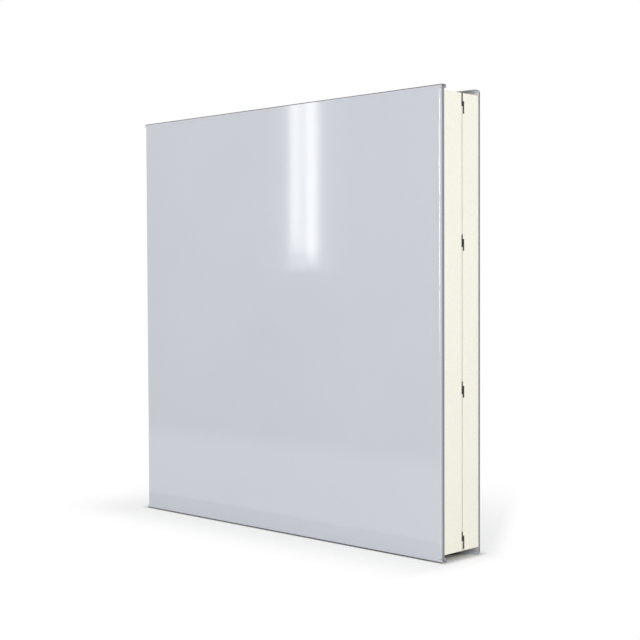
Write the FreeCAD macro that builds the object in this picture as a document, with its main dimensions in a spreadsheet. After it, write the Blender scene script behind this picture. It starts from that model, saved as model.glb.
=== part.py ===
import FreeCAD, Part
import os
import Sketcher
from FreeCAD import Rotation, Vector

# Insulated sandwich panel: two folded steel facings bonded to a foam core made of
# two boards, which four stepped key strips lock together along the joint.
# X runs along the panel's width, Y through its thickness (front face at -Y), Z up.
# The origin is the middle of the footprint that the panel stands on. Sizes are in mm.

SIZES = {
    # the whole panel
    "panel_width": 980,
    "panel_height": 1000,
    "panel_thickness": 132,
    # both facings
    "sheet_gauge": 1,
    # front facing: its top and bottom folds end in a leg, and its ends in a return
    "front_flange": 14,
    "front_leg": 8,
    "front_edge_bend": 2.5,
    "front_return": 7.5,
    "front_side_bend": 7,
    "relief_height": 0.8,
    "relief_margin": 1,
    # back facing: a rolled rim all round
    "back_flange": 20,
    "back_edge_bend": 6,
    "back_return": 5,
    "back_side_bend": 1.5,
    # core boards, set in from the facings' top and bottom edges
    "top_recess": 12.5,
    "bottom_recess": 16,
    "front_board": 68,
    "joint_gap": 0.8,
    "board_fit": 0.3,
    # key strips and the slots that hold them: the upper leaf crosses the joint, the
    # lower leaf is set back from it, and the two lap over a thick bar
    "strip_rebate": 1.8,
    "strip_leaf": 4.6,
    "strip_offset": 4.9,
    "strip_corner": 0.8,
    "strip_setback": 0.5,
    "slot_fit": 0.3,
    # how far each strip reaches above and below the middle of its bar
    "upper_reach_1": 22,
    "lower_reach_1": 21,
    "upper_reach_2": 18,
    "lower_reach_2": 16.5,
    "upper_reach_3": 18,
    "lower_reach_3": 16.5,
    "upper_reach_4": 14,
    "lower_reach_4": 23,
    # half the height of the bar: the two middle strips have the longer laps
    "half_lap_1": 5,
    "half_lap_2": 8.5,
    "half_lap_3": 8.5,
    "half_lap_4": 5.5,
    # where the strips lie
    "bottom_cover": 3,
    "second_strip_drop": 294,
    "third_strip_rise": 317.5,
}

# What follows from the sizes above. A jog is the level of the middle of a strip's bar.
DERIVED = {
    "half_width": "panel_width / 2",
    "half_thickness": "panel_thickness / 2",
    "board_end": "half_width - sheet_gauge",
    "board_bottom": "bottom_recess",
    "board_top": "panel_height - top_recess",
    "front_bond": "sheet_gauge - half_thickness",
    "back_bond": "half_thickness - sheet_gauge",
    "joint_face": "front_bond + front_board",
    "back_board_front": "joint_face + joint_gap",
    "strip_front": "joint_face - strip_rebate",
    "leaf_back": "strip_front + strip_leaf",
    "leaf_front": "strip_front + strip_offset",
    "strip_back": "leaf_front + strip_leaf",
    "jog_1": "board_top - upper_reach_1",
    "jog_2": "jog_1 - second_strip_drop",
    "jog_4": "board_bottom + bottom_cover + lower_reach_4",
    "jog_3": "jog_4 + third_strip_rise",
}

# A pocket that takes less than this much (mm3) points the wrong way.
LEAST_CUT = 0.01
# How close two places have to be to count as one, in mm.
SAME_PLACE = 1e-4

doc = FreeCAD.newDocument("sandwich_panel")
sheet = doc.addObject("Spreadsheet::Sheet", "sizes")


def fill_sheet():
    """Puts the driving sizes in column B, and what follows from them in column D."""
    for row, (name, value) in enumerate(SIZES.items(), start=1):
        sheet.set(f"A{row}", name)
        sheet.set(f"B{row}", str(value))
        sheet.setAlias(f"B{row}", name)
    for row, (name, formula) in enumerate(DERIVED.items(), start=1):
        sheet.set(f"C{row}", name)
        sheet.set(f"D{row}", "=" + formula)
        sheet.setAlias(f"D{row}", name)
    doc.recompute()


def bound(formula):
    """The formula with each name of a size read from the sheet."""
    known = SIZES.keys() | DERIVED.keys()
    return " ".join("sizes." + word if word in known else word for word in formula.split())


def value_of(formula):
    return float(sheet.evalExpression(bound(formula)))


def new_body(label):
    body = doc.addObject("PartDesign::Body", label)
    body.Label = label
    return body


def polygon(body, name, role, corners, level="0"):
    """A closed sketch on one of the body's origin planes, moved along that plane's
    normal by level. Each corner's two places are formulas of the sheet's names."""
    sketch = body.newObject("Sketcher::SketchObject", name)
    plane = next(f for f in body.Origin.OriginFeatures if f.Role == role)
    sketch.AttachmentSupport = (plane, [""])
    sketch.MapMode = "FlatFace"
    sketch.setExpression("AttachmentOffset.Base.z", bound(level))
    points = [Vector(value_of(across), value_of(up), 0) for across, up in corners]
    count = len(points)
    for i in range(count):
        sketch.addGeometry(Part.LineSegment(points[i], points[(i + 1) % count]))
    for i in range(count):
        sketch.addConstraint(Sketcher.Constraint("Coincident", i, 2, (i + 1) % count, 1))
    for i, (across, up) in enumerate(corners):
        place(sketch, "DistanceX", i, across, points[i].x)
        place(sketch, "DistanceY", i, up, points[i].y)
    doc.recompute()
    return sketch


def place(sketch, kind, corner, formula, here):
    """Ties one of a corner's two places to its formula."""
    index = sketch.addConstraint(Sketcher.Constraint(kind, -1, 1, corner, 1, here))
    name = f"{kind}_{corner}"
    sketch.renameConstraint(index, name)
    sketch.setExpression(f"Constraints.{name}", bound(formula))


def rectangle(body, name, role, low, high, level="0"):
    (left, bottom), (right, top) = low, high
    corners = [(left, bottom), (right, bottom), (right, top), (left, top)]
    return polygon(body, name, role, corners, level)


def pad(body, sketch, length, reverse=False, middle=False):
    feature = body.newObject("PartDesign::Pad", sketch.Name + "_pad")
    feature.Profile = sketch
    feature.Midplane = middle
    feature.Reversed = reverse
    feature.setExpression("Length", bound(length))
    doc.recompute()
    return feature


def pocket(body, sketch, length, middle=False):
    before = body.Shape.Volume
    feature = body.newObject("PartDesign::Pocket", sketch.Name + "_pocket")
    feature.Profile = sketch
    feature.Midplane = middle
    feature.setExpression("Length", bound(length))
    doc.recompute()
    if before - body.Shape.Volume < LEAST_CUT:
        raise ValueError(f"{feature.Name} cuts nothing")
    return feature


def near(a, b):
    return abs(a - b) < SAME_PLACE


def fillet(body, name, radius, axis, test):
    """Rounds the straight edges along the axis (0, 1 or 2 for x, y or z) of which
    every point passes the test."""
    feature = body.newObject("PartDesign::Fillet", name)
    base = feature.BaseFeature
    picked = []
    for number, edge in enumerate(base.Shape.Edges, start=1):
        ends = [vertex.Point for vertex in edge.Vertexes]
        straight = len(ends) == 2 and isinstance(edge.Curve, Part.Line)
        if straight and abs(edge.Curve.Direction[axis]) > 0.999 and all(map(test, ends)):
            picked.append(f"Edge{number}")
    feature.Base = (base, picked)
    feature.setExpression("Radius", bound(radius))
    doc.recompute()
    return feature


def front_facing():
    """The front sheet, folded at the top and bottom into channels with a leg, and at
    both ends into a short return. Its outer face is y = 0 and it folds to +y."""
    label = "front_facing"
    body = new_body(label)
    gauge, half = value_of("sheet_gauge"), value_of("half_width")
    flange, height = value_of("front_flange"), value_of("panel_height")
    section = polygon(
        body, label + "_section", "YZ_Plane",
        [
            ("front_flange", "panel_height - front_leg"),
            ("front_flange", "panel_height"),
            ("0", "panel_height"),
            ("0", "0"),
            ("front_flange", "0"),
            ("front_flange", "front_leg"),
            ("front_flange - sheet_gauge", "front_leg"),
            ("front_flange - sheet_gauge", "sheet_gauge"),
            ("sheet_gauge", "sheet_gauge"),
            ("sheet_gauge", "panel_height - sheet_gauge"),
            ("front_flange - sheet_gauge", "panel_height - sheet_gauge"),
            ("front_flange - sheet_gauge", "panel_height - front_leg"),
        ],
    )
    pad(body, section, "panel_width", middle=True)
    fillet(
        body, label + "_bends_inside", "front_edge_bend - sheet_gauge", 0,
        lambda p: (near(p.y, gauge) or near(p.y, flange - gauge))
        and (near(p.z, gauge) or near(p.z, height - gauge)),
    )
    fillet(
        body, label + "_bends_outside", "front_edge_bend", 0,
        lambda p: (near(p.y, 0) or near(p.y, flange)) and (near(p.z, 0) or near(p.z, height)),
    )
    for side, end, inner, relief in (
        ("left", "0 - half_width", "0 - board_end", "0 - half_width + front_side_bend + relief_margin"),
        ("right", "half_width", "board_end", "half_width - front_side_bend - relief_margin"),
    ):
        low, high = sorted((end, inner), key=value_of)
        leg = rectangle(
            body, f"{label}_{side}_return", "XY_Plane",
            (low, "0"), (high, "front_return"), level="front_leg",
        )
        pad(body, leg, "panel_height - 2 * front_leg")
        low, high = sorted((end, relief), key=value_of)
        for level, bottom, top in (
            ("low", "front_leg", "front_leg + relief_height"),
            ("high", "panel_height - front_leg - relief_height", "panel_height - front_leg"),
        ):
            slit = rectangle(
                body, f"{label}_{side}_{level}_relief", "XZ_Plane", (low, bottom), (high, top),
            )
            pocket(body, slit, "front_return")
    leg_top = value_of("panel_height - front_leg")
    leg_bottom = value_of("front_leg")
    fillet(
        body, label + "_arris_inside", "front_side_bend - sheet_gauge", 2,
        lambda p: near(abs(p.x), half - gauge) and near(p.y, gauge),
    )
    fillet(
        body, label + "_arris_outside", "front_side_bend", 2,
        lambda p: near(abs(p.x), half) and near(p.y, 0) and leg_bottom < p.z < leg_top,
    )
    body.setExpression("Placement.Base.y", bound("0 - half_thickness"))
    return body


def back_facing():
    """The back sheet, a shallow tray whose rolled rim is a flange at the top and
    bottom and a short return at both ends. Before it is turned to face the front
    sheet, its outer face is y = 0 and it folds to +y."""
    label = "back_facing"
    body = new_body(label)
    gauge, half = value_of("sheet_gauge"), value_of("half_width")
    height = value_of("panel_height")
    outline = rectangle(
        body, label + "_outline", "XZ_Plane",
        ("0 - half_width", "0"), ("half_width", "panel_height"),
    )
    pad(body, outline, "back_flange", reverse=True)
    hollow = rectangle(
        body, label + "_hollow", "XZ_Plane",
        ("0 - board_end", "sheet_gauge"), ("board_end", "panel_height - sheet_gauge"),
        level="0 - sheet_gauge",
    )
    pocket(body, hollow, "back_flange")
    fillet(
        body, label + "_bends_inside", "back_edge_bend - sheet_gauge", 0,
        lambda p: near(p.y, gauge) and (near(p.z, gauge) or near(p.z, height - gauge)),
    )
    fillet(
        body, label + "_arris_inside", "back_side_bend - sheet_gauge", 2,
        lambda p: near(p.y, gauge) and near(abs(p.x), half - gauge),
    )
    fillet(
        body, label + "_bends_outside", "back_edge_bend", 0,
        lambda p: near(p.y, 0),
    )
    fillet(
        body, label + "_arris_outside", "back_side_bend", 2,
        lambda p: near(p.y, 0) and near(abs(p.x), half),
    )
    trim = rectangle(
        body, label + "_end_trim", "YZ_Plane",
        ("back_return", "back_side_bend"), ("back_flange", "panel_height - back_side_bend"),
    )
    pocket(body, trim, "panel_width", middle=True)
    body.Placement.Rotation = Rotation(Vector(0, 0, 1), 180)
    body.setExpression("Placement.Base.y", bound("half_thickness"))
    return body


def board(label, front, back, bonded, bend):
    """A foam board from y = front to y = back, rounded to sit in its facing's bends."""
    body = new_body(label)
    section = rectangle(
        body, label + "_section", "YZ_Plane",
        (front, "board_bottom"), (back, "board_top"),
    )
    pad(body, section, "2 * board_end", middle=True)
    face = value_of(bonded)
    fillet(
        body, label + "_corners", f"{bend} - sheet_gauge + board_fit", 2,
        lambda p: near(p.y, face),
    )
    return body


def strip_levels(number):
    """The formulas of a strip's four levels: its top, the top and the bottom of its
    bar, and its foot."""
    jog = f"jog_{number}"
    return (
        f"{jog} + upper_reach_{number}",
        f"{jog} + half_lap_{number}",
        f"{jog} - half_lap_{number}",
        f"{jog} - lower_reach_{number}",
    )


def cut_front_slot(body, number):
    """The rebate in the front board's rear face for a strip's upper leaf and bar."""
    top, bar_top, bar_foot, foot = strip_levels(number)
    slot = rectangle(
        body, f"front_slot_{number}", "YZ_Plane",
        ("strip_front", bar_foot + " - slot_fit"), ("joint_face", top + " + slot_fit"),
    )
    pocket(body, slot, "panel_width", middle=True)


def cut_back_slot(body, number):
    """The stepped slot in the back board's front face for the rest of that strip."""
    top, bar_top, bar_foot, foot = strip_levels(number)
    slot = polygon(
        body, f"back_slot_{number}", "YZ_Plane",
        [
            ("back_board_front", top + " + slot_fit"),
            ("back_board_front", bar_foot + " - slot_fit"),
            ("leaf_front - slot_fit", bar_foot + " - slot_fit"),
            ("leaf_front - slot_fit", foot + " - slot_fit"),
            ("strip_back", foot + " - slot_fit"),
            ("strip_back", bar_top + " + slot_fit"),
            ("leaf_back + slot_fit", bar_top + " + slot_fit"),
            ("leaf_back + slot_fit", top + " + slot_fit"),
        ],
    )
    pocket(body, slot, "panel_width", middle=True)


def joint_strip(number):
    """A stepped key strip: its upper leaf lies in the front board's rebate, and its
    lower leaf lies on the back wall of the back board's slot."""
    label = f"joint_strip_{number}"
    body = new_body(label)
    top, bar_top, bar_foot, foot = strip_levels(number)
    section = polygon(
        body, label + "_section", "YZ_Plane",
        [
            ("strip_front", top),
            ("strip_front", bar_foot),
            ("leaf_front", bar_foot),
            ("leaf_front", foot),
            ("strip_back", foot),
            ("strip_back", bar_top),
            ("leaf_back", bar_top),
            ("leaf_back", top),
        ],
    )
    pad(body, section, "2 * ( board_end - strip_setback )", middle=True)
    fillet(body, label + "_corners", "strip_corner", 0, lambda p: True)
    return body


def build():
    fill_sheet()
    parts = [front_facing(), back_facing()]
    front_board = board("front_core_board", "front_bond", "joint_face", "front_bond", "front_side_bend")
    back_board = board("back_core_board", "back_board_front", "back_bond", "back_bond", "back_side_bend")
    parts += [front_board, back_board]
    for number in (1, 2, 3, 4):
        cut_front_slot(front_board, number)
        cut_back_slot(back_board, number)
        parts.append(joint_strip(number))
    doc.recompute()
    return parts


def check(parts):
    for thing in doc.Objects:
        if "Invalid" in thing.State or "Error" in thing.State:
            raise ValueError(f"{thing.Name} failed: {thing.State}")
    for part in parts:
        shape = part.Shape
        if shape.isNull() or not shape.isValid() or len(shape.Solids) != 1:
            raise ValueError(f"{part.Label} is not one valid solid")


def write(parts):
    os.makedirs("parts", exist_ok=True)
    for part in parts:
        part.Shape.exportStep(f"parts/{part.Label}.step")
        box = part.Shape.BoundBox
        print(f"{part.Label}: {part.Shape.Volume:.0f} mm3, {len(part.Shape.Faces)} faces, {box}")


parts = build()
check(parts)
write(parts)
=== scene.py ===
import math

import bpy
from mathutils import Matrix, Vector


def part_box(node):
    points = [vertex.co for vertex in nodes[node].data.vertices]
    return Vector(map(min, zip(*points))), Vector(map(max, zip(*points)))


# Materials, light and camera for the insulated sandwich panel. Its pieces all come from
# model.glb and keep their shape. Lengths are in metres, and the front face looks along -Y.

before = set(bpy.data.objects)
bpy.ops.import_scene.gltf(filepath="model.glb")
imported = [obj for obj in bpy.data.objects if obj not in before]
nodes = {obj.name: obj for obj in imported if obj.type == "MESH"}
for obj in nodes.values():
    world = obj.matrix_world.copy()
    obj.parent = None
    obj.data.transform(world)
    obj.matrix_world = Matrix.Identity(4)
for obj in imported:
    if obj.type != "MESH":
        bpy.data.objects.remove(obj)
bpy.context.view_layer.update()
scene = bpy.context.scene

front_low, front_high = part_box("front_facing")
HALF_X = front_high.x
FACE_Y = front_low.y
BACK_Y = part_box("back_facing")[1].y
MIDDLE_Z = (front_low.z + front_high.z) / 2
SEAM_Y = (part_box("front_core_board")[1].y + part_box("back_core_board")[0].y) / 2

# ---------------------------------------------------------------- node helpers

# Most of a noise lies between these values.
NOISE_LOW, NOISE_HIGH = 0.3, 0.7


def new_tree(owner):
    """The node tree of a material or a world, emptied."""
    owner.use_nodes = True
    owner.node_tree.nodes.clear()
    return owner.node_tree


def new_material(name, shader_kind):
    """A material, its tree and the shader that makes its surface."""
    material = bpy.data.materials.new(name)
    tree = new_tree(material)
    return material, tree, tree.nodes.new(shader_kind)


def link(tree, source, target):
    tree.links.new(source, target)


def feed(tree, value, socket):
    """Links a socket to another one, or sets it to a number."""
    if isinstance(value, bpy.types.NodeSocket):
        link(tree, value, socket)
    else:
        socket.default_value = value


def finish_surface(tree, surface, kind="ShaderNodeOutputMaterial"):
    link(tree, surface, tree.nodes.new(kind).inputs["Surface"])


def noise(tree, scale, detail, roughness, stretch=(1, 1, 1)):
    """Noise over the object coordinates, stretched along each axis."""
    coords = tree.nodes.new("ShaderNodeTexCoord")
    mapping = tree.nodes.new("ShaderNodeMapping")
    mapping.inputs["Scale"].default_value = stretch
    link(tree, coords.outputs["Object"], mapping.inputs["Vector"])
    node = tree.nodes.new("ShaderNodeTexNoise")
    node.inputs["Scale"].default_value = scale
    node.inputs["Detail"].default_value = detail
    node.inputs["Roughness"].default_value = roughness
    link(tree, mapping.outputs["Vector"], node.inputs["Vector"])
    return node.outputs["Fac"]


def math_node(tree, operation, a, b=0.0):
    node = tree.nodes.new("ShaderNodeMath")
    node.operation = operation
    feed(tree, a, node.inputs[0])
    feed(tree, b, node.inputs[1])
    return node.outputs[0]


def size_of(tree, value):
    return math_node(tree, "ABSOLUTE", value)


def two_tone(tree, fac, tones):
    """A noise spread over two colours."""
    node = tree.nodes.new("ShaderNodeValToRGB")
    first, last = node.color_ramp.elements
    for element, position, tone in ((first, NOISE_LOW, tones[0]), (last, NOISE_HIGH, tones[1])):
        element.position = position
        element.color = (*tone, 1.0)
    link(tree, fac, node.inputs["Fac"])
    return node.outputs["Color"]


def mix_colour(tree, fac, a, b):
    """Colour a where fac is 0 and colour b where it is 1."""
    node = tree.nodes.new("ShaderNodeMix")
    node.data_type = "RGBA"
    link(tree, fac, node.inputs["Factor"])
    for name, value in (("A", a), ("B", b)):
        feed(tree, (*value, 1.0) if isinstance(value, tuple) else value, node.inputs[name])
    return node.outputs["Result"]


def mix_shader(tree, fac, a, b):
    """Shader a where fac is 0 and shader b where it is 1."""
    node = tree.nodes.new("ShaderNodeMixShader")
    link(tree, fac, node.inputs["Fac"])
    link(tree, a, node.inputs[1])
    link(tree, b, node.inputs[2])
    return node.outputs[0]


def smooth_step(tree, value, start, end):
    """Rises smoothly from 0 at start to 1 at end."""
    node = tree.nodes.new("ShaderNodeMapRange")
    node.interpolation_type = "SMOOTHSTEP"
    node.inputs["From Min"].default_value = start
    node.inputs["From Max"].default_value = end
    link(tree, value, node.inputs["Value"])
    return node.outputs[0]


def spread(tree, value, least, most):
    """A noise spread over a range of numbers."""
    node = tree.nodes.new("ShaderNodeMapRange")
    node.inputs["From Min"].default_value = NOISE_LOW
    node.inputs["From Max"].default_value = NOISE_HIGH
    node.inputs["To Min"].default_value = least
    node.inputs["To Max"].default_value = most
    link(tree, value, node.inputs["Value"])
    return node.outputs[0]


def object_axes(tree, output):
    """The x, y and z of the object coordinates or of the object-space normal."""
    coords = tree.nodes.new("ShaderNodeTexCoord")
    split = tree.nodes.new("ShaderNodeSeparateXYZ")
    link(tree, coords.outputs[output], split.inputs[0])
    return split.outputs["X"], split.outputs["Y"], split.outputs["Z"]


def relief(tree, rows):
    """A normal roughened by one bump for each row: a noise, a strength and a depth."""
    normal = None
    for pattern, strength, depth in rows:
        node = tree.nodes.new("ShaderNodeBump")
        node.inputs["Strength"].default_value = strength
        node.inputs["Distance"].default_value = depth
        link(tree, noise(tree, *pattern), node.inputs["Height"])
        if normal is not None:
            link(tree, normal, node.inputs["Normal"])
        normal = node.outputs["Normal"]
    return normal


# ---------------------------------------------------------------- paint of the facings

# A pattern is a noise's scale, detail, roughness and stretch.
PAINT_IOR = 1.5
PAINT_ROUGHNESS = (0.038, 0.050)
PAINT_HAZE = (40.0, 3.0, 0.6, (1, 1, 0.3))
PAINT_TONE = (3.0, 3.0, 0.5)
PAINT_RELIEF = (
    ((9.0, 1.0, 0.4, (1, 1, 0.35)), 0.25, 0.0002),
    ((260.0, 3.0, 0.6, (1, 1, 0.22)), 0.35, 0.00002),
    ((700.0, 2.0, 0.5), 0.20, 0.000008),
)
FACE_TONES = ((0.590, 0.612, 0.662), (0.604, 0.626, 0.676))
BACKING_TONES = ((0.60, 0.61, 0.65), (0.64, 0.65, 0.69))
# Painted light: the backing coat is lighter near the panel's ends, where more light reaches in.
BACKING_PAINTED_LIGHT = (0.88, 0.89, 0.93)
# Painted shade: the folded returns and flanges are darker grey, and the level bends carry a
# dark line, where less light falls on them.
FRONT_EDGE_PAINTED_SHADE = ((0.186, 0.191, 0.204), (0.212, 0.217, 0.231))
BACK_EDGE_PAINTED_SHADE = ((0.124, 0.126, 0.138), (0.142, 0.144, 0.157))
FRONT_BEND_PAINTED_SHADE = (0.095, 0.098, 0.106)
BACK_BEND_PAINTED_SHADE = (0.34, 0.35, 0.37)
# How far the normal has turned, as its share along an axis, where each painted shade starts and
# is full. The painted shade line runs along the bend and ends where the flange is level.
RETURN_SHADE_TURN = (0.44, 0.95)
FLANGE_SHADE_TURN = (0.5, 0.9)
BEND_SHADE_TURN = (0.02, 0.22)
LEVEL_TURN = (0.90, 0.995)
# How far from the panel's end the painted light on the backing starts and is full.
BACKING_LIGHT_REACH = (0.020, 0.006)
INWARD = -0.05


def painted_colour(tree, tone, normal, bend_shade_colour, edge_shade_tones):
    """The face's colour, with painted shade: grey folded edges and a dark line along the level
    bends.
    """
    steep = size_of(tree, normal[2])
    # Painted shade on the returns and flanges, chosen by the object-space normal.
    returns = smooth_step(tree, size_of(tree, normal[0]), *RETURN_SHADE_TURN)
    flanges = smooth_step(tree, steep, *FLANGE_SHADE_TURN)
    shaded_folds = math_node(tree, "MAXIMUM", flanges, returns)
    face = two_tone(tree, tone, FACE_TONES)
    colour = mix_colour(tree, shaded_folds, face, two_tone(tree, tone, edge_shade_tones))
    # Painted shade line along the level bends.
    bend = smooth_step(tree, steep, *BEND_SHADE_TURN)
    painted_bend_line = math_node(tree, "SUBTRACT", bend, smooth_step(tree, steep, *LEVEL_TURN))
    return mix_colour(tree, painted_bend_line, colour, bend_shade_colour)


def backing_with_painted_light(tree, tone, point):
    """The pale coat inside, with painted light that makes it lighter near the panel's ends."""
    start, end = (HALF_X - reach for reach in BACKING_LIGHT_REACH)
    painted_light_near_end = smooth_step(tree, size_of(tree, point[0]), start, end)
    return mix_colour(tree, painted_light_near_end, two_tone(tree, tone, BACKING_TONES), BACKING_PAINTED_LIGHT)


def looks_inward(tree, normal, point, outward):
    """1 where the normal looks back at the middle of the panel, and else 0."""
    x_sign = math_node(tree, "SIGN", point[0])
    z_sign = math_node(tree, "SIGN", math_node(tree, "SUBTRACT", point[2], MIDDLE_Z))
    x_out = math_node(tree, "MULTIPLY", normal[0], x_sign)
    z_out = math_node(tree, "MULTIPLY", normal[2], z_sign)
    y_out = math_node(tree, "MULTIPLY", normal[1], outward)
    all_out = math_node(tree, "ADD", math_node(tree, "ADD", x_out, z_out), y_out)
    return math_node(tree, "LESS_THAN", all_out, INWARD)


def facing_paint(name, outward, bend_shade_colour, edge_shade_tones):
    """Gloss paint on the side that faces out, with painted shade on its folded edges and bends,
    and the pale backing coat inside, with painted light near the ends. Outward is -1 for the
    front sheet and 1 for the back one."""
    material, tree, shader = new_material(name, "ShaderNodeBsdfPrincipled")
    shader.inputs["IOR"].default_value = PAINT_IOR
    haze = noise(tree, *PAINT_HAZE)
    link(tree, spread(tree, haze, *PAINT_ROUGHNESS), shader.inputs["Roughness"])
    tone = noise(tree, *PAINT_TONE)
    normal = object_axes(tree, "Normal")
    point = object_axes(tree, "Object")
    painted = painted_colour(tree, tone, normal, bend_shade_colour, edge_shade_tones)
    backing = backing_with_painted_light(tree, tone, point)
    inside = looks_inward(tree, normal, point, outward)
    link(tree, mix_colour(tree, inside, painted, backing), shader.inputs["Base Color"])
    link(tree, relief(tree, PAINT_RELIEF), shader.inputs["Normal"])
    finish_surface(tree, shader.outputs[0])
    return material


# ---------------------------------------------------------------- core and strips

FOAM_SPECULAR = 0.25
FOAM_ROUGHNESS = (0.80, 0.92)
FOAM_MOTTLE = (170.0, 4.0, 0.6)
FOAM_CELLS = (((900.0, 3.0, 0.6), 0.5, 0.0003),)
FOAM_TONES = ((0.900, 0.878, 0.772), (0.948, 0.928, 0.830))
MATING_COLOUR, MATING_TURN = (0.20, 0.18, 0.14), (0.5, 0.9)
SEAM_COLOUR, SEAM_REACH = (0.46, 0.43, 0.36), (0.0005, 0.0014)
# The core carries a painted shadow where the back sheet's end return lies over it.
RETURN_PAINTED_SHADOW, RETURN_SHADOW_REACH = (0.33, 0.33, 0.35), (0.0072, 0.0056)

STRIP_SPECULAR = 0.3
STRIP_ROUGHNESS = (0.52, 0.68)
STRIP_GRAIN = (220.0, 3.0, 0.6)
STRIP_SAWN = (((1500.0, 2.0, 0.6, (0.4, 1, 1)), 0.4, 0.0002),)
STRIP_TONES = ((0.014, 0.014, 0.013), (0.034, 0.033, 0.031))


def core_foam():
    """Cream rigid foam, darker on the cut faces that meet along the joint, with a painted
    shadow beside the back sheet's end return.
    """
    material, tree, shader = new_material("core_foam_cells_and_painted_shadow", "ShaderNodeBsdfPrincipled")
    shader.inputs["Specular IOR Level"].default_value = FOAM_SPECULAR
    mottle = noise(tree, *FOAM_MOTTLE)
    link(tree, spread(tree, mottle, *FOAM_ROUGHNESS), shader.inputs["Roughness"])
    depth = object_axes(tree, "Object")[1]
    facing = size_of(tree, object_axes(tree, "Normal")[1])
    colour = two_tone(tree, mottle, FOAM_TONES)
    mating = smooth_step(tree, facing, *MATING_TURN)
    colour = mix_colour(tree, mating, colour, MATING_COLOUR)
    off_seam = size_of(tree, math_node(tree, "SUBTRACT", depth, SEAM_Y))
    seam = math_node(tree, "SUBTRACT", 1.0, smooth_step(tree, off_seam, *SEAM_REACH))
    colour = mix_colour(tree, seam, colour, SEAM_COLOUR)
    # Painted shadow on the core beside the back sheet's end return.
    start, end = (BACK_Y - reach for reach in RETURN_SHADOW_REACH)
    colour = mix_colour(tree, smooth_step(tree, depth, start, end), colour, RETURN_PAINTED_SHADOW)
    link(tree, colour, shader.inputs["Base Color"])
    link(tree, relief(tree, FOAM_CELLS), shader.inputs["Normal"])
    finish_surface(tree, shader.outputs[0])
    return material


def strip_plastic():
    """Dark rigid plastic with fine saw marks."""
    material, tree, shader = new_material("strip_plastic_dark", "ShaderNodeBsdfPrincipled")
    shader.inputs["Specular IOR Level"].default_value = STRIP_SPECULAR
    grain = noise(tree, *STRIP_GRAIN)
    link(tree, spread(tree, grain, *STRIP_ROUGHNESS), shader.inputs["Roughness"])
    link(tree, two_tone(tree, grain, STRIP_TONES), shader.inputs["Base Color"])
    link(tree, relief(tree, STRIP_SAWN), shader.inputs["Normal"])
    finish_surface(tree, shader.outputs[0])
    return material


dressing = {
    "front_facing": facing_paint("facing_paint_and_shade_front", -1.0, FRONT_BEND_PAINTED_SHADE, FRONT_EDGE_PAINTED_SHADE),
    "back_facing": facing_paint("facing_paint_and_shade_back", 1.0, BACK_BEND_PAINTED_SHADE, BACK_EDGE_PAINTED_SHADE),
    "core_board": core_foam(),
    "joint_strip": strip_plastic(),
}
for name, node in nodes.items():
    chosen = next(material for part, material in dressing.items() if part in name)
    for material_slot in node.material_slots:
        material_slot.material = chosen

# ---------------------------------------------------------------- camera

LENS = 71.785
SENSOR_WIDTH = 36.0
CLIP_START, CLIP_END = 0.05, 60.0
ROLL = math.radians(-0.2258)
EYE = Vector((2.14475, -2.15643, 0.59414))
FORWARD = Vector((-0.692212, 0.721031, -0.031232)).normalized()

right = FORWARD.cross(Vector((0, 0, 1))).normalized()
up = right.cross(FORWARD)
right, up = (
    right * math.cos(ROLL) + up * math.sin(ROLL),
    up * math.cos(ROLL) - right * math.sin(ROLL),
)
camera_data = bpy.data.cameras.new("camera")
camera_data.lens = LENS
camera_data.sensor_width = SENSOR_WIDTH
camera_data.clip_start = CLIP_START
camera_data.clip_end = CLIP_END
camera = bpy.data.objects.new("camera", camera_data)
basis = Matrix((right, up, -FORWARD)).transposed().to_4x4()
camera.matrix_world = Matrix.Translation(EYE) @ basis
scene.collection.objects.link(camera)
scene.camera = camera

# ---------------------------------------------------------------- floor

FLOOR_HALF = 6.0
FLOOR_GAP = 0.0003
FLOOR_COLOUR = (0.9, 0.9, 0.9)
# For each side of the panel, how far its shadow reaches, and the dark line at its foot.
LEFT_SHADOW = (0.30, 0.030)
RIGHT_SHADOW = (0.072, 0.021)
FRONT_SHADOW = (0.205, 0.008)
BACK_SHADOW = (0.90, 0.030)
# How much lighter the shadow is past that line, and how far it leans towards -X.
SHADOW_LIFT, SHADOW_LEAN = 0.62, 0.6
BENEATH = 0.001
# Deep under the panel the floor carries painted shade, darker from the front sheet to the back
# one.
UNDER_SHADE_FRONT, UNDER_SHADE_BACK = (0.40, 0.40, 0.40), (0.09, 0.09, 0.09)
UNDER_ACROSS = (-0.020, 0.030)
UNDER_DEPTH = (0.050, 0.004)
GLOSS_REACH = (0.02, 0.25)


def outside(tree, value, low_edge, high_edge):
    """How far a place lies below a range and how far above it: 0 inside it."""
    over = math_node(tree, "MAXIMUM", math_node(tree, "SUBTRACT", value, high_edge))
    under = math_node(tree, "MAXIMUM", math_node(tree, "SUBTRACT", low_edge, value))
    return under, over


def distance_away(tree, point):
    """How far a place is from the footprint, where 1 is the shadow's outer edge, and how
    clear it is of the dark line at the panel's foot."""
    front, behind = outside(tree, point[1], FACE_Y, BACK_Y)
    lean = math_node(tree, "MULTIPLY", behind, SHADOW_LEAN)
    left, right_side = outside(tree, math_node(tree, "ADD", point[0], lean), -HALF_X, HALF_X)
    total, clear = 0.0, 0.0
    for value, (reach, contact) in (
        (left, LEFT_SHADOW),
        (right_side, RIGHT_SHADOW),
        (front, FRONT_SHADOW),
        (behind, BACK_SHADOW),
    ):
        part = math_node(tree, "DIVIDE", value, reach)
        total = math_node(tree, "ADD", math_node(tree, "MULTIPLY", part, part), total)
        clear = math_node(tree, "MAXIMUM", smooth_step(tree, value, 0.0, contact), clear)
    return math_node(tree, "POWER", total, 0.5), clear


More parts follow.
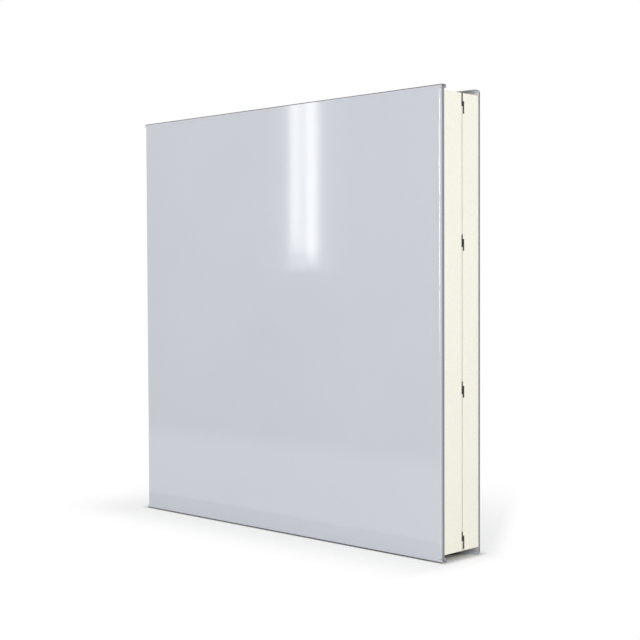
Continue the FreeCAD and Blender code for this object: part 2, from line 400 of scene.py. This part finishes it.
def under_painted_shade(tree, point):
    """The floor's colour under the panel: painted shade, lighter near its ends."""
    start, end = (HALF_X - reach for reach in UNDER_DEPTH)
    painted_light_near_end = smooth_step(tree, size_of(tree, point[0]), start, end)
    across = smooth_step(tree, point[1], *UNDER_ACROSS)
    deep_shade = mix_colour(tree, across, UNDER_SHADE_FRONT, UNDER_SHADE_BACK)
    return mix_colour(tree, painted_light_near_end, deep_shade, FLOOR_COLOUR)


def floor_material():
    """A pale floor that keeps the shadow close round the panel, with painted shade under the
    panel, and is white to the camera and in the gloss away from it."""
    material, tree, diffuse = new_material("floor_pale_with_painted_shade", "ShaderNodeBsdfDiffuse")
    point = object_axes(tree, "Object")
    away, clear = distance_away(tree, point)
    beneath = math_node(tree, "LESS_THAN", away, BENEATH)
    # Painted shade on the floor under the panel.
    colour = mix_colour(tree, beneath, FLOOR_COLOUR, under_painted_shade(tree, point))
    link(tree, colour, diffuse.inputs["Color"])
    lift = math_node(tree, "MULTIPLY", clear, SHADOW_LIFT)
    fade = smooth_step(tree, away, 0.0, 1.0)
    share = math_node(tree, "ADD", lift, math_node(tree, "MULTIPLY", fade, 1.0 - SHADOW_LIFT))
    path = tree.nodes.new("ShaderNodeLightPath")
    glow = tree.nodes.new("ShaderNodeEmission")
    glow.inputs["Strength"].default_value = 1.0
    seen = math_node(tree, "MULTIPLY", path.outputs["Is Camera Ray"], share)
    plain = mix_shader(tree, seen, diffuse.outputs[0], glow.outputs[0])
    far = smooth_step(tree, away, *GLOSS_REACH)
    mirrored = math_node(tree, "MULTIPLY", path.outputs["Is Glossy Ray"], far)
    finish_surface(tree, mix_shader(tree, mirrored, plain, glow.outputs[0]))
    return material


floor_mesh = bpy.data.meshes.new("floor")
corners = [(-1, -1), (1, -1), (1, 1), (-1, 1)]
floor_points = [(x * FLOOR_HALF, y * FLOOR_HALF, 0) for x, y in corners]
floor_mesh.from_pydata(floor_points, [], [(0, 1, 2, 3)])
floor = bpy.data.objects.new("floor", floor_mesh)
floor.location.z = -FLOOR_GAP
floor_mesh.materials.append(floor_material())
scene.collection.objects.link(floor)

# ---------------------------------------------------------------- room

# Even light, dimmer overhead, and white to the camera and in the gloss.
ZENITH, HORIZON = 0.68, 1.0
DIM_FROM, DIM_TO = 0.1, 0.9


def light_the_room():
    world = bpy.data.worlds.new("studio")
    scene.world = world
    tree = new_tree(world)
    path = tree.nodes.new("ShaderNodeLightPath").outputs
    seen = math_node(tree, "MAXIMUM", path["Is Camera Ray"], path["Is Glossy Ray"])
    seen = math_node(tree, "MAXIMUM", seen, path["Is Transmission Ray"])
    height = smooth_step(tree, object_axes(tree, "Generated")[2], DIM_FROM, DIM_TO)
    level = math_node(tree, "MULTIPLY", height, ZENITH - HORIZON)
    ambient = tree.nodes.new("ShaderNodeBackground")
    link(tree, math_node(tree, "ADD", level, HORIZON), ambient.inputs["Strength"])
    white = tree.nodes.new("ShaderNodeBackground")
    white.inputs["Color"].default_value = (1, 1, 1, 1)
    white.inputs["Strength"].default_value = 1.0
    surface = mix_shader(tree, seen, ambient.outputs[0], white.outputs[0])
    finish_surface(tree, surface, "ShaderNodeOutputWorld")


light_the_room()

# ---------------------------------------------------------------- lamps

# Radiance is how bright a soft box's face is, where 1 is white. Boxes of one bank stand a
# step apart, because at one and the same distance they would hide one another.
BANK_STEP = 0.03


def soft_box(name, place, aim, size, radiance, diffuse=True, glossy=True):
    """A soft box that looks at aim. Size is its width and height."""
    data = bpy.data.lights.new(name, "AREA")
    data.shape = "RECTANGLE"
    data.size, data.size_y = size
    data.energy = radiance * math.pi * size[0] * size[1]
    lamp = bpy.data.objects.new(name, data)
    lamp.location = place
    lamp.rotation_mode = "QUATERNION"
    lamp.rotation_quaternion = (Vector(aim) - Vector(place)).to_track_quat("-Z", "Y")
    lamp.visible_camera = False
    lamp.visible_diffuse = diffuse
    lamp.visible_glossy = glossy
    scene.collection.objects.link(lamp)


def round_the_panel(start, azimuth, distance, z):
    """A place at that distance from start, at an azimuth from -Y towards +X."""
    turn = math.radians(azimuth)
    x = start[0] + distance * math.sin(turn)
    y = start[1] - distance * math.cos(turn)
    return Vector((x, y, z))


# A bank of tall soft boxes, whose reflection is the bright streak on the front face: each
# stands where the line of sight to it goes on to after the face. The row gives its name,
# the x where it shows on the face, its width, the z where it starts, and its radiance.
STREAK_DISTANCE, STREAK_TOP = 3.05, 3.0
STREAKS = (
    ("streak_veil", 0.0949, 0.348, 0.607, 0.25),
    ("streak_wide", 0.0900, 0.213, 0.614, 0.70),
    ("streak_box_low", 0.0896, 0.144, 0.623, 1.60),
    ("streak_box_high", 0.0896, 0.144, 0.657, 2.10),
    ("streak_tube_left", 0.0613, 0.035, 0.685, 1.60),
    ("streak_tube_right", 0.1116, 0.042, 0.637, 2.70),
)
for row, (name, foot_x, width, foot_z, radiance) in enumerate(STREAKS):
    foot = Vector((foot_x, FACE_Y, foot_z))
    to_eye = EYE - foot
    off = STREAK_DISTANCE - row * BANK_STEP
    start_z = foot.z - to_eye.z * off / math.hypot(to_eye.x, to_eye.y)
    azimuth = -math.degrees(math.atan2(to_eye.x, -to_eye.y))
    place = round_the_panel(foot, azimuth, off, (start_z + STREAK_TOP) / 2)
    aim = (foot.x, foot.y, place.z)
    soft_box(name, place, aim, (width, STREAK_TOP - start_z), radiance)

# Cards that light only the right arris of the front sheet in the gloss, each with the
# height of its foot and its radiance. They end one after the other, so that the light
# fades out down the arris.
ARRIS_AZIMUTH, ARRIS_DISTANCE = -29.0, 6.0
ARRIS_WIDTH, ARRIS_TOP = 1.30, 2.1
ARRIS_CARDS = ((0.551, 7.0), (0.275, 7.8), (0.090, 8.0))
arris = (HALF_X, FACE_Y, MIDDLE_Z)
for row, (card_foot, radiance) in enumerate(ARRIS_CARDS):
    off = ARRIS_DISTANCE + row * BANK_STEP
    place = round_the_panel(arris, ARRIS_AZIMUTH, off, (card_foot + ARRIS_TOP) / 2)
    aim = (arris[0], arris[1], place.z)
    card = (ARRIS_WIDTH, ARRIS_TOP - card_foot)
    soft_box(f"arris_card_{row}", place, aim, card, radiance, diffuse=False)

# Soft boxes for the front and for the end, too wide to show as shapes in the gloss: name,
# the place they look at, azimuth, distance, height, size, radiance.
FILLS = (
    ("front_box", (0, FACE_Y, 0.35), 12.0, 4.0, 1.05, (3.0, 2.0), 1.42),
    ("end_box", (HALF_X, 0, 0.40), 72.0, 3.4, 1.15, (2.4, 2.0), 2.36),
)
for name, aim, azimuth, off, height, size, radiance in FILLS:
    place = round_the_panel(aim, azimuth, off, height)
    soft_box(name, place, aim, size, radiance, glossy=False)

# Cards that lie on the floor before the panel and face up. They are seen only in the gloss
# of the front sheet, as the lighter lower part of its face.
FLOOR_CARD_X, FLOOR_CARD_WIDTH = -1.2, 4.0
FLOOR_CARD_NEAR, FLOOR_CARD_FAR = 0.15, (1.05, 1.17)
FLOOR_CARD_STEP = 0.002
FLOOR_CARD_RADIANCE = 0.34
for row, far_edge in enumerate(FLOOR_CARD_FAR):
    middle = FACE_Y - (FLOOR_CARD_NEAR + far_edge) / 2
    place = (FLOOR_CARD_X, middle, FLOOR_CARD_STEP * (row + 1))
    card = (FLOOR_CARD_WIDTH, far_edge - FLOOR_CARD_NEAR)
    aim = (FLOOR_CARD_X, middle, 1.0)
    soft_box(f"floor_card_{row}", place, aim, card, FLOOR_CARD_RADIANCE, diffuse=False)

scene.view_settings.view_transform = "Standard"
